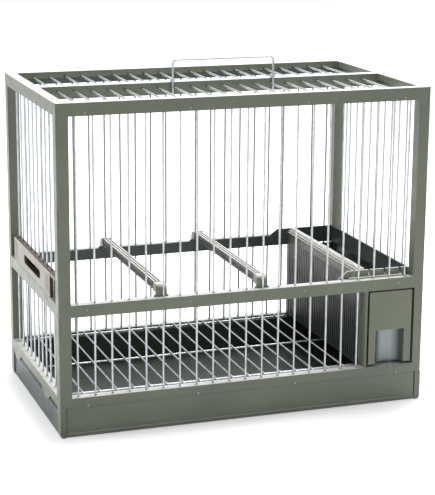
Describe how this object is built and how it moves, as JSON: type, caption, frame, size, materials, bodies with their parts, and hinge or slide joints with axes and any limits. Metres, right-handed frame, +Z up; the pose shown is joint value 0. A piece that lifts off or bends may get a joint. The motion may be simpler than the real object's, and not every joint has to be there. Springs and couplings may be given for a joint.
{
  "type": "small wire bird cage",
  "caption": "Small songbird carrying cage: moulded frame, wire bars, sliding side door, pull-out tray and feeder drawer, perches and wire carry handle.",
  "frame": {"origin": "centre of the footprint on the table", "axes": "+X to the right along the long side, +Y to the back, +Z up"},
  "size_m": [0.3806, 0.2206, 0.3472],
  "materials": {
    "frame_plastic": "satin moulded sage green",
    "tray_plastic": "satin moulded sage green, slightly cooler",
    "door_plastic": "satin moulded sage green, handled",
    "drawer_plastic": "satin moulded sage green",
    "partition_plastic": "ribbed warm dark grey",
    "perch_plastic": "ribbed grey brown",
    "bar_wire": "galvanised drawn wire",
    "grate_wire": "galvanised drawn wire, welded",
    "handle_wire": "galvanised drawn wire"
  },
  "bodies": {
    "cage": {"back_wires": "bar_wire", "base_clamp_back": "frame_plastic", "base_clamp_front": "frame_plastic", "base_clamp_left": "frame_plastic", "base_clamp_right": "frame_plastic", "base_frame": "frame_plastic", "bracket_left_back": "frame_plastic", "bracket_left_front": "frame_plastic", "bracket_right_back": "frame_plastic", "bracket_right_front": "frame_plastic", "door_guides": "frame_plastic", "feeder_perch": "perch_plastic", "feeder_rim": "frame_plastic", "feeder_shelf": "frame_plastic", "floor_grate": "grate_wire", "front_foot_left": "frame_plastic", "front_foot_right": "frame_plastic", "front_wires": "bar_wire", "handle_eyes": "handle_wire", "left_wires": "bar_wire", "middle_clamp_back": "frame_plastic", "middle_clamp_front": "frame_plastic", "middle_clamp_left": "frame_plastic", "middle_clamp_right": "frame_plastic", "middle_frame": "frame_plastic", "partition_wall": "partition_plastic", "perch_left": "perch_plastic", "perch_right": "perch_plastic", "right_wires": "bar_wire", "roof_clamp_back": "frame_plastic", "roof_clamp_front": "frame_plastic", "roof_clamp_left": "frame_plastic", "roof_clamp_right": "frame_plastic", "roof_frame": "frame_plastic", "roof_wires": "bar_wire", "side_panel": "frame_plastic", "side_skirt_left": "frame_plastic", "side_skirt_right": "frame_plastic"},
    "tray": {"floor_tray": "tray_plastic", "tray_walls": "tray_plastic", "tray_back_wall": "tray_plastic"},
    "drawer": {"feeder_drawer": "drawer_plastic", "drawer_divider": "drawer_plastic", "seed_chute": "drawer_plastic"},
    "door": {"door_plate": "door_plastic", "door_wires": "bar_wire"},
    "handle": {"carry_handle": "handle_wire"}
  },
  "joints": [
    {"name": "tray_slide", "type": "slide", "parent": "cage", "child": "tray", "axis": [0, -1, 0], "range_m": [0, 0.19]},
    {"name": "drawer_slide", "type": "slide", "parent": "cage", "child": "drawer", "axis": [0, -1, 0], "range_m": [0, 0.185]},
    {"name": "door_lift", "type": "slide", "parent": "cage", "child": "door", "axis": [0, 0, 1], "range_m": [0, 0.155]},
    {"name": "handle_drop", "type": "slide", "parent": "cage", "child": "handle", "axis": [0, 0, 1], "range_m": [-0.014, 0]}
  ]
}
